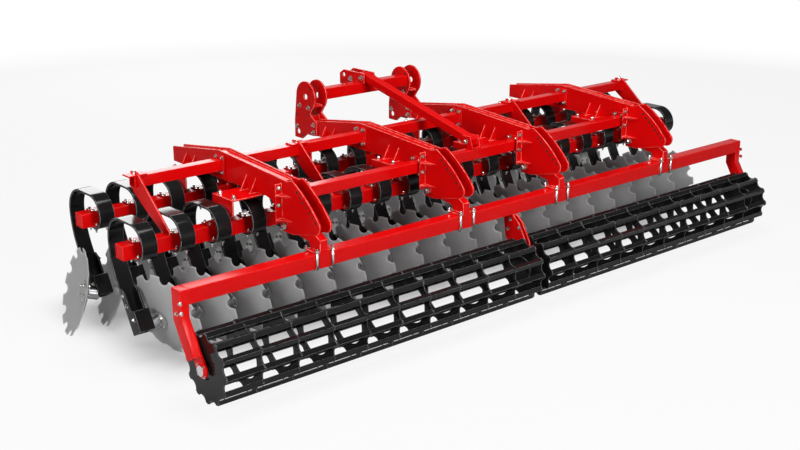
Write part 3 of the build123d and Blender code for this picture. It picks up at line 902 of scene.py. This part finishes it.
HUB_BOLTS = 5
HUB_BOLT = (0.015, 0.002)
HUB_BOLT_CIRCLE = 0.052
HUB_NUT_CIRCLE = 0.048
BLADE_GREY = (0.43, 0.432, 0.436, 1.0)
BLADE_DARK = (0.37, 0.372, 0.376, 1.0)
BLADE_BRIGHT = (0.58, 0.582, 0.586, 1.0)
BLADE_METALLIC = 0.25
BLADE_SMOOTH = 0.42
BLADE_ROUGH = 0.58
RING_SCALE = 260.0
RING_SHARE = 0.35
RING_STRENGTH = 0.15
RING_DEPTH = 0.0003
SCALE_CLOUDS = 7.0
HUB_GREY = (0.50, 0.50, 0.49, 1.0)
HUB_DARK = (0.38, 0.38, 0.38, 1.0)


def blade_steel():
    """Pressed disc steel: rings about the hub, cloudy scale, and a bright ground rim."""
    material, node, shader = new_finish("blade_steel")
    plane = node("ShaderNodeUVMap", {}, uv_map="blade").outputs["UV"]
    radius = node("ShaderNodeVectorMath", {0: plane}, operation="LENGTH").outputs["Value"]
    rings = node(
        "ShaderNodeTexNoise",
        {"W": radius, "Scale": RING_SCALE, "Detail": 4.0},
        noise_dimensions="1D",
    ).outputs["Fac"]
    place = node("ShaderNodeTexCoord", {}).outputs["Object"]
    cloud = clouds(node, place, SCALE_CLOUDS, detail=5.0)
    blend = node(
        "ShaderNodeMix", {"Factor": RING_SHARE, "A": cloud, "B": rings}, data_type="FLOAT"
    ).outputs["Result"]
    ground = node("ShaderNodeAttribute", {}, attribute_name="edge_band").outputs["Fac"]
    skin = mixed(node, blend, BLADE_GREY, BLADE_DARK)
    surface = {
        "Base Color": mixed(node, ground, skin, BLADE_BRIGHT),
        "Roughness": ranged(node, blend, BLADE_SMOOTH, BLADE_ROUGH),
        "Normal": relief(node, rings, RING_STRENGTH, RING_DEPTH),
        "Metallic": BLADE_METALLIC,
    }
    fill(shader, surface)
    return material


def dish_height(radius):
    """How far the blade has risen from its flat centre at a radius."""
    t = max(0.0, (radius - FLAT_RADIUS) / (BLADE_RADIUS - FLAT_RADIUS))
    return DISH * (DISH_SQUARE * t * t + (1 - DISH_SQUARE) * t)


def blade_outline():
    """Angle and radius of points round the notched rim."""
    half_pitch = math.pi / NOTCHES
    half_tooth = half_pitch - math.asin(NOTCH_RADIUS / BLADE_RADIUS) - TOOTH_GAP
    outline = []
    for i in range(NOTCHES):
        centre = math.tau * (i + 0.5) / NOTCHES
        for j in range(NOTCH_STEPS + 1):
            round_notch = math.radians(NOTCH_SWEEP) * (2 * j / NOTCH_STEPS - 1)
            inner = BLADE_RADIUS - NOTCH_RADIUS * math.cos(round_notch)
            aside = NOTCH_RADIUS * math.sin(round_notch)
            outline.append((centre + math.atan2(aside, inner), math.hypot(inner, aside)))
        for j in range(TOOTH_STEPS + 1):
            turn = half_tooth * (2 * j / TOOTH_STEPS - 1)
            outline.append((centre + half_pitch + turn, BLADE_RADIUS))
    return outline


def ring(form, points):
    """A closed ring of vertices from angles, radii and heights."""
    return [form.verts.new((r * math.cos(a), r * math.sin(a), z)) for a, r, z in points]


def skin_between(form, outer, inner, band, value=0.0):
    """Quads between two closed rings of vertices, with their edge band."""
    count = len(outer)
    for i in range(count):
        k = (i + 1) % count
        face = form.faces.new((outer[i], outer[k], inner[k], inner[i]))
        face[band] = value


def lathe(form, profile, steps, band):
    """A closed turned solid about the axis, from pairs of radius and height."""
    rings = [
        ring(form, [(math.tau * i / steps, radius, height) for i in range(steps)])
        for radius, height in profile
    ]
    for low, high in zip(rings, rings[1:]):
        skin_between(form, high, low, band)
    form.faces.new(rings[0])[band] = 0.0
    form.faces.new(list(reversed(rings[-1])))[band] = 0.0


def disc_form():
    """One blade with its hub about the Z axis, opening towards +Z."""
    form = bmesh.new()
    band = form.faces.layers.float.new("edge_band")
    outline = blade_outline()
    upper = []
    lower = []
    for share in DISH_STEPS:
        inside = [(a, FLAT_RADIUS + (r - GROUND_RIM - FLAT_RADIUS) * share) for a, r in outline]
        upper.append(ring(form, [(a, r, dish_height(r) + BLADE_THICK) for a, r in inside]))
        lower.append(ring(form, [(a, r, dish_height(r)) for a, r in inside]))
    rim_top = ring(form, [(a, r, dish_height(r) + BLADE_THICK - RIM_DROP) for a, r in outline])
    rim_low = ring(form, [(a, r, dish_height(r)) for a, r in outline])
    for inner, outer in zip(upper, upper[1:]):
        skin_between(form, outer, inner, band)
    skin_between(form, rim_top, upper[-1], band, 1.0)
    skin_between(form, rim_low, rim_top, band, 1.0)
    skin_between(form, lower[-1], rim_low, band, RIM_UNDER)
    for inner, outer in zip(lower, lower[1:]):
        skin_between(form, inner, outer, band)
    form.faces.new(upper[0])[band] = 0.0
    form.faces.new(list(reversed(lower[0])))[band] = 0.0
    plate = (
        (HUB_PLATE_RADIUS, BLADE_THICK),
        (HUB_PLATE_RADIUS, HUB_PLATE_TOP - HUB_PLATE_BREAK),
        (HUB_PLATE_RADIUS - HUB_PLATE_BREAK, HUB_PLATE_TOP),
    )
    spindle = (
        (SPINDLE_RADIUS, -SPINDLE_END),
        (SPINDLE_RADIUS, -HUB_FLANGE_THICK),
        (HUB_FLANGE_RADIUS - HUB_FLANGE_BREAK, -HUB_FLANGE_THICK),
        (HUB_FLANGE_RADIUS, -HUB_FLANGE_THICK + HUB_FLANGE_BREAK),
        (HUB_FLANGE_RADIUS, 0.0),
    )
    lathe(form, plate, HUB_PLATE_SIDES, band)
    lathe(form, spindle, SPINDLE_SIDES, band)
    bmesh.ops.recalc_face_normals(form, faces=form.faces)
    return form


def disc_axes(joint):
    """The blade's frame from its joint: Z along the axis, X towards the floor."""
    along = Vector(joint["axis"]).normalized()
    across = along.cross(DOWN).normalized()
    turn = Matrix((across.cross(along), across, along)).transposed().to_4x4()
    return Matrix.Translation(joint["pos_m"]) @ turn


disc_blank = disc_form()
blank_uv = disc_blank.loops.layers.uv.new("blade")
for face in disc_blank.faces:
    for loop in face.loops:
        loop[blank_uv].uv = loop.vert.co.xy
blank = mesh_piece("disc_blank", disc_blank, blade_steel())
hub_casting = metal(
    "hub_casting",
    HUB_GREY,
    HUB_DARK,
    smooth=0.3,
    rough=0.5,
    scale=60.0,
    bump_depth=0.0006,
    metallic=0.8,
)
blank.data.materials.append(hub_casting)
for polygon in blank.data.polygons:
    middle = polygon.center
    on_plate = middle.xy.length < HUB_PLATE_RADIUS and middle.z > HUB_FROM
    if middle.z < SPINDLE_FROM or on_plate:
        polygon.material_index = 1
eased_normals(blank)
seat_rings = ((HUB_BOLT_CIRCLE, HUB_PLATE_TOP, UP), (HUB_NUT_CIRCLE, -HUB_FLANGE_THICK, DOWN))
seat_angles = [math.tau * (i + 0.25) / HUB_BOLTS for i in range(HUB_BOLTS)]
for joint in joints.values():
    disc = joint["child"]
    if disc.startswith("disc_"):
        place = disc_axes(joint)
        blade = in_scene("notched_" + disc, blank.data.copy())
        blade.data.transform(place)
        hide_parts(disc)
        fitted(blade, disc)
        seats = []
        for radius, height, way in seat_rings:
            for a in seat_angles:
                point = place @ Vector((radius * math.cos(a), radius * math.sin(a), height))
                seats.append((point, place.to_3x3() @ way))
        bolts("bolts_" + disc, seats, *HUB_BOLT, disc)
bpy.data.objects.remove(blank)

# Roller frame: a square tube of 90 mm across the machine, hung from the arms' ears by four
# drop arms that U-bolts clamp to it, with a side arm at each end and a twin-plate bracket in
# the middle. The bearing housings in the side arms are closed by pale pressed caps.
CAP_WHITE = (0.62, 0.62, 0.61, 1.0)
CAP_GREY = (0.52, 0.52, 0.51, 1.0)
U_BOLT_SIDE = 0.057
U_BOLT_RADIUS = 0.0085
U_BOLT_BEND = 0.012
U_BOLT_TOP = 0.034
U_NUT_SEAT = 0.012
U_NUT = (0.020, 0.004)
ROD_SIDES = 10
PAD_HALF = 0.04
PAD_THICK = 0.008
PAD_OVER = 0.004
BEARING_FACE = 0.016
BEARING_NUTS = 4
BEARING_NUT_CIRCLE = 0.0405
BEARING_NUT = (0.011, 0.002)
CAP_FACE = 0.024
CAP_RADIUS = 0.0315
CAP_PROUD = 0.003
CAP_SIDES = 28
SIDE_ARM = 0.055
SIDE_ARM_SPOTS = ((-0.745, 0.624), (-0.752, 0.569), (-0.700, 0.554))
SIDE_ARM_BOLT = (0.016, 0.003)
BRACKET_FACE = 0.022
BRACKET_SPOTS = ((-0.72, 0.569), (-0.70, 0.499), (-0.80, 0.529))
BRACKET_BOLT = (0.017, 0.003)


def rod_along(form, path, radius, steps):
    """A round rod with mitred corners along a path of points that turns in one plane."""
    plane = (path[1] - path[0]).cross(path[-1] - path[0]).normalized()
    rings = []
    for i, point in enumerate(path):
        before = (point - path[i - 1]).normalized() if i else (path[1] - point).normalized()
        after = (path[i + 1] - point).normalized() if i + 1 < len(path) else before
        side = (before + after).normalized().cross(plane).normalized()
        stretch = 1 / max(0.5, math.cos(before.angle(after) / 2))
        ring = []
        for k in range(steps):
            a = math.tau * k / steps
            offset = side * (math.cos(a) * radius * stretch) + plane * (math.sin(a) * radius)
            ring.append(form.verts.new(point + offset))
        rings.append(ring)
    for low, high in zip(rings, rings[1:]):
        for k in range(steps):
            n = (k + 1) % steps
            form.faces.new((low[k], low[n], high[n], high[k]))
    form.faces.new(rings[0])
    form.faces.new(rings[-1])


for node, name, width, finish in (
    ("roller_tube", "roller_cross_tube", BEAM_BREAK, red_enamel),
    ("roller_drop_arms", "roller_hanging_arms", TOWER_BREAK, plate_enamel),
    ("roller_side_arms", "roller_end_arms", TUBE_BREAK, red_enamel),
    ("roller_centre_bracket", "roller_middle_plates", PLATE_BREAK, plate_enamel),
):
    rounded(node, name, width, finish, body="roller_frame")
tube_low, tube_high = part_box("roller_tube")
back = tube_low.y - U_BOLT_RADIUS
front = tube_high.y + U_BOLT_RADIUS
foot = tube_low.z - U_BOLT_RADIUS
top = tube_high.z + U_BOLT_TOP
u_path = (
    (front, top),
    (front, foot + U_BOLT_BEND),
    (front - U_BOLT_BEND, foot),
    (back + U_BOLT_BEND, foot),
    (back, foot + U_BOLT_BEND),
    (back, top),
)
u_rods = bmesh.new()
u_nuts = []
u_pads = []
for x in arm_middles:
    for side in (-U_BOLT_SIDE, U_BOLT_SIDE):
        path = [Vector((x + side, y, z)) for y, z in u_path]
        rod_along(u_rods, path, U_BOLT_RADIUS, ROD_SIDES)
        for y in (back, front):
            u_nuts.append((Vector((x + side, y, tube_high.z + U_NUT_SEAT)), UP))
    near = (x - PAD_HALF, tube_low.y - PAD_THICK, tube_low.z)
    u_pads.append((near, (x + PAD_HALF, tube_low.y, tube_high.z + PAD_OVER)))
bmesh.ops.recalc_face_normals(u_rods, faces=u_rods.faces)
u_bolts = mesh_piece("roller_u_bolts", u_rods, zinc_plate)
u_bolts.data.polygons.foreach_set("use_smooth", [True] * len(u_bolts.data.polygons))
fitted(u_bolts, "roller_frame")
bolts("roller_u_nuts", u_nuts, *U_NUT, "roller_frame")
blocks("roller_clamp_pads", u_pads, CLAMP_BREAK, "roller_frame")

axle = Vector(joints["roller_left_spin"]["pos_m"])
bearing_caps = []
bearing_nuts = []
side_arm_bolts = []
bracket_bolts = []
for side in (LEFT, RIGHT):
    face = side.x * (tube_high.x + BEARING_FACE)
    outer = side.x * (tube_high.x + SIDE_ARM)
    bearing_caps.append((Vector((side.x * (tube_high.x + CAP_FACE), axle.y, axle.z)), side))
    for i in range(BEARING_NUTS):
        a = math.tau * (i + 0.5) / BEARING_NUTS
        y = axle.y + BEARING_NUT_CIRCLE * math.cos(a)
        z = axle.z + BEARING_NUT_CIRCLE * math.sin(a)
        bearing_nuts.append((Vector((face, y, z)), side))
    for y, z in SIDE_ARM_SPOTS:
        side_arm_bolts.append((Vector((outer, y, z)), side))
    for y, z in BRACKET_SPOTS:
        bracket_bolts.append((Vector((side.x * BRACKET_FACE, y, z)), side))
cap_steel = metal(
    "cap_steel", CAP_WHITE, CAP_GREY, smooth=0.3, rough=0.45, scale=25.0, metallic=0.2
)
plugs(
    "roller_bearing_caps",
    bearing_caps,
    CAP_RADIUS,
    CAP_PROUD,
    cap_steel,
    "roller_frame",
    CAP_SIDES,
)
bolts("roller_bearing_nuts", bearing_nuts, *BEARING_NUT, "roller_frame")
bolts("roller_end_bolts", side_arm_bolts, *SIDE_ARM_BOLT, "roller_frame")
bolts("roller_bracket_bolts", bracket_bolts, *BRACKET_BOLT, "roller_frame")

# Cage rollers: twelve steel angles welded round eleven scalloped rings, two rollers side by
# side, with turned stubs in the bearings. They carry the black enamel of the shanks.
ROLLER_BREAK = 0.0012
for roller in ("roller_left", "roller_right"):
    name = roller.removeprefix("roller_") + "_cage_roller"
    rounded(roller, name, ROLLER_BREAK, black_enamel, roller)

# Studio: a pale floor that runs out of view and is plain white paper far off, a white room for
# camera and reflections, and soft lamps above, behind, left and in front of the machine.
FLOOR_SIZE = 60.0
FLOOR_GREY = (0.6, 0.6, 0.6, 1.0)
FLOOR_ROUGHNESS = 0.9
FLOOR_SHEEN = 0.1
FLOOR_NEAR = 2.2
FLOOR_FAR = 11.0
# Shares of the floor's camera glow off and under the frame; the open share, also under the roller,
# is painted light that hides shadow.
OPEN_SHARE = 0.88
UNDER_SHARE = 0.25
UNDER_SIDE = (2.6, 2.2)
UNDER_REAR = (-0.55, -0.2)
UNDER_FRONT = (1.4, 0.9)
ROOM = (1.0, 1.0, 1.0, 1.0)
FILL = 0.12
CEILING = 0.12
WALL_TOP = 0.42
MACHINE = (0.0, 0.0, 0.5)
floor_form = bmesh.new()
bmesh.ops.create_grid(floor_form, x_segments=1, y_segments=1, size=FLOOR_SIZE / 2)
floor_paint, floor_node, floor_shader = new_finish("studio_floor")
shine = {
    "Base Color": FLOOR_GREY,
    "Roughness": FLOOR_ROUGHNESS,
    "Specular IOR Level": FLOOR_SHEEN,
}
fill(floor_shader, shine)


def eased_step(node, value, start, end):
    """A smooth step, from 0 at the start to 1 at the end."""
    return ranged(node, value, 0.0, 1.0, start, end, interpolation_type="SMOOTHSTEP")


# Painted light: for the camera the floor glows white by OPEN_SHARE on open floor and under the
# roller, washing out the roller's shadow, and only by UNDER_SHARE under the frame, where its
# shadow shows.
place = floor_node("ShaderNodeTexCoord", {}).outputs["Object"]
sides = floor_node("ShaderNodeSeparateXYZ", {"Vector": place}).outputs
breadth = worked_out(floor_node, "ABSOLUTE", sides["X"])
under = worked_out(
    floor_node,
    "MULTIPLY",
    eased_step(floor_node, breadth, *UNDER_SIDE),
    eased_step(floor_node, sides["Y"], *UNDER_REAR),
)
ahead = eased_step(floor_node, sides["Y"], *UNDER_FRONT)
under = worked_out(floor_node, "MULTIPLY", under, ahead)
away = floor_node("ShaderNodeVectorMath", {0: place}, operation="LENGTH").outputs["Value"]
painted_glow_share = worked_out(
    floor_node,
    "MAXIMUM",
    ranged(floor_node, under, OPEN_SHARE, UNDER_SHARE),
    eased_step(floor_node, away, FLOOR_NEAR, FLOOR_FAR),
)
seen = floor_node("ShaderNodeLightPath", {}).outputs["Is Camera Ray"]
paper = floor_node("ShaderNodeEmission", {"Color": ROOM, "Strength": 1.0})
layers = {
    0: worked_out(floor_node, "MULTIPLY", painted_glow_share, seen),
    1: floor_shader.outputs["BSDF"],
    2: paper.outputs["Emission"],
}
floor_mix = floor_node("ShaderNodeMixShader", layers)
floor_end = floor_paint.node_tree.nodes["Material Output"]
fill(floor_end, {"Surface": floor_mix.outputs["Shader"]})
mesh_piece("studio_floor", floor_form, floor_paint)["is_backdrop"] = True

world = bpy.data.worlds.new("studio")
world.use_nodes = True
bpy.context.scene.world = world
sky_node = partial(new_node, world.node_tree)
rays = sky_node("ShaderNodeLightPath", {}).outputs
seen = worked_out(sky_node, "MAXIMUM", rays["Is Camera Ray"], rays["Is Glossy Ray"])
clear = worked_out(sky_node, "MAXIMUM", seen, rays["Is Transmission Ray"])
compass = sky_node("ShaderNodeTexCoord", {}).outputs["Generated"]
heading = sky_node("ShaderNodeSeparateXYZ", {"Vector": compass}).outputs["Z"]
walls = ranged(sky_node, heading, 1.0, CEILING, 0.0, WALL_TOP, interpolation_type="SMOOTHSTEP")
room = worked_out(sky_node, "MAXIMUM", walls, rays["Is Camera Ray"])
strength = ranged(sky_node, clear, FILL, room)
fill(world.node_tree.nodes["Background"], {"Strength": strength, "Color": ROOM})


def soft_lamp(name, place, size, power, aim=MACHINE):
    """A square soft box that faces a point."""
    lamp = bpy.data.lights.new(name, "AREA")
    lamp.shape = "SQUARE"
    lamp.size = size
    lamp.energy = power
    holder = in_scene(name, lamp)
    holder.location = place
    holder.rotation_mode = "QUATERNION"
    holder.rotation_quaternion = (Vector(aim) - Vector(place)).to_track_quat("-Z", "Y")


soft_lamp("top_soft_box", (-1.0, -1.5, 7.0), size=3.5, power=360.0)
soft_lamp("camera_soft_box", (-1.0, -9.0, 4.0), size=2.5, power=440.0, aim=(0.0, 0.0, 0.6))
soft_lamp("left_soft_box", (-8.0, -2.0, 3.5), size=2.5, power=260.0)
soft_lamp("front_soft_box", (3.0, 8.5, 4.0), size=4.0, power=220.0)

# Camera: a lens of 54.6 mm on a 36 mm sensor, above and behind the machine's left corner, at
# the photograph's angle.
CAMERA_PLACE = Vector((-5.6002, -6.0504, 3.0231))
CAMERA_YAW = math.radians(40.8406)
CAMERA_PITCH = math.radians(18.0164)
CAMERA_ROLL = math.radians(0.1789)
SENSOR = 36.0
FOCAL_PIXELS = 1213.49
PHOTO_WIDTH = 800.0
forward = Vector(
    (
        math.sin(CAMERA_YAW) * math.cos(CAMERA_PITCH),
        math.cos(CAMERA_YAW) * math.cos(CAMERA_PITCH),
        -math.sin(CAMERA_PITCH),
    )
)
level_right = Vector((math.cos(CAMERA_YAW), -math.sin(CAMERA_YAW), 0.0))
level_up = level_right.cross(forward)
right = level_right * math.cos(CAMERA_ROLL) + level_up * math.sin(CAMERA_ROLL)
upward = level_up * math.cos(CAMERA_ROLL) - level_right * math.sin(CAMERA_ROLL)
camera_data = bpy.data.cameras.new("camera")
camera_data.sensor_width = SENSOR
camera_data.lens = SENSOR * FOCAL_PIXELS / PHOTO_WIDTH
camera = in_scene("camera", camera_data)
camera_turn = Matrix((right, upward, -forward)).transposed().to_4x4()
camera.matrix_world = Matrix.Translation(CAMERA_PLACE) @ camera_turn
bpy.context.scene.camera = camera
bpy.context.scene.view_settings.view_transform = "Standard"

sizes = {"cad": [list(c) for c in cad_box], "visual": [list(c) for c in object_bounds()]}
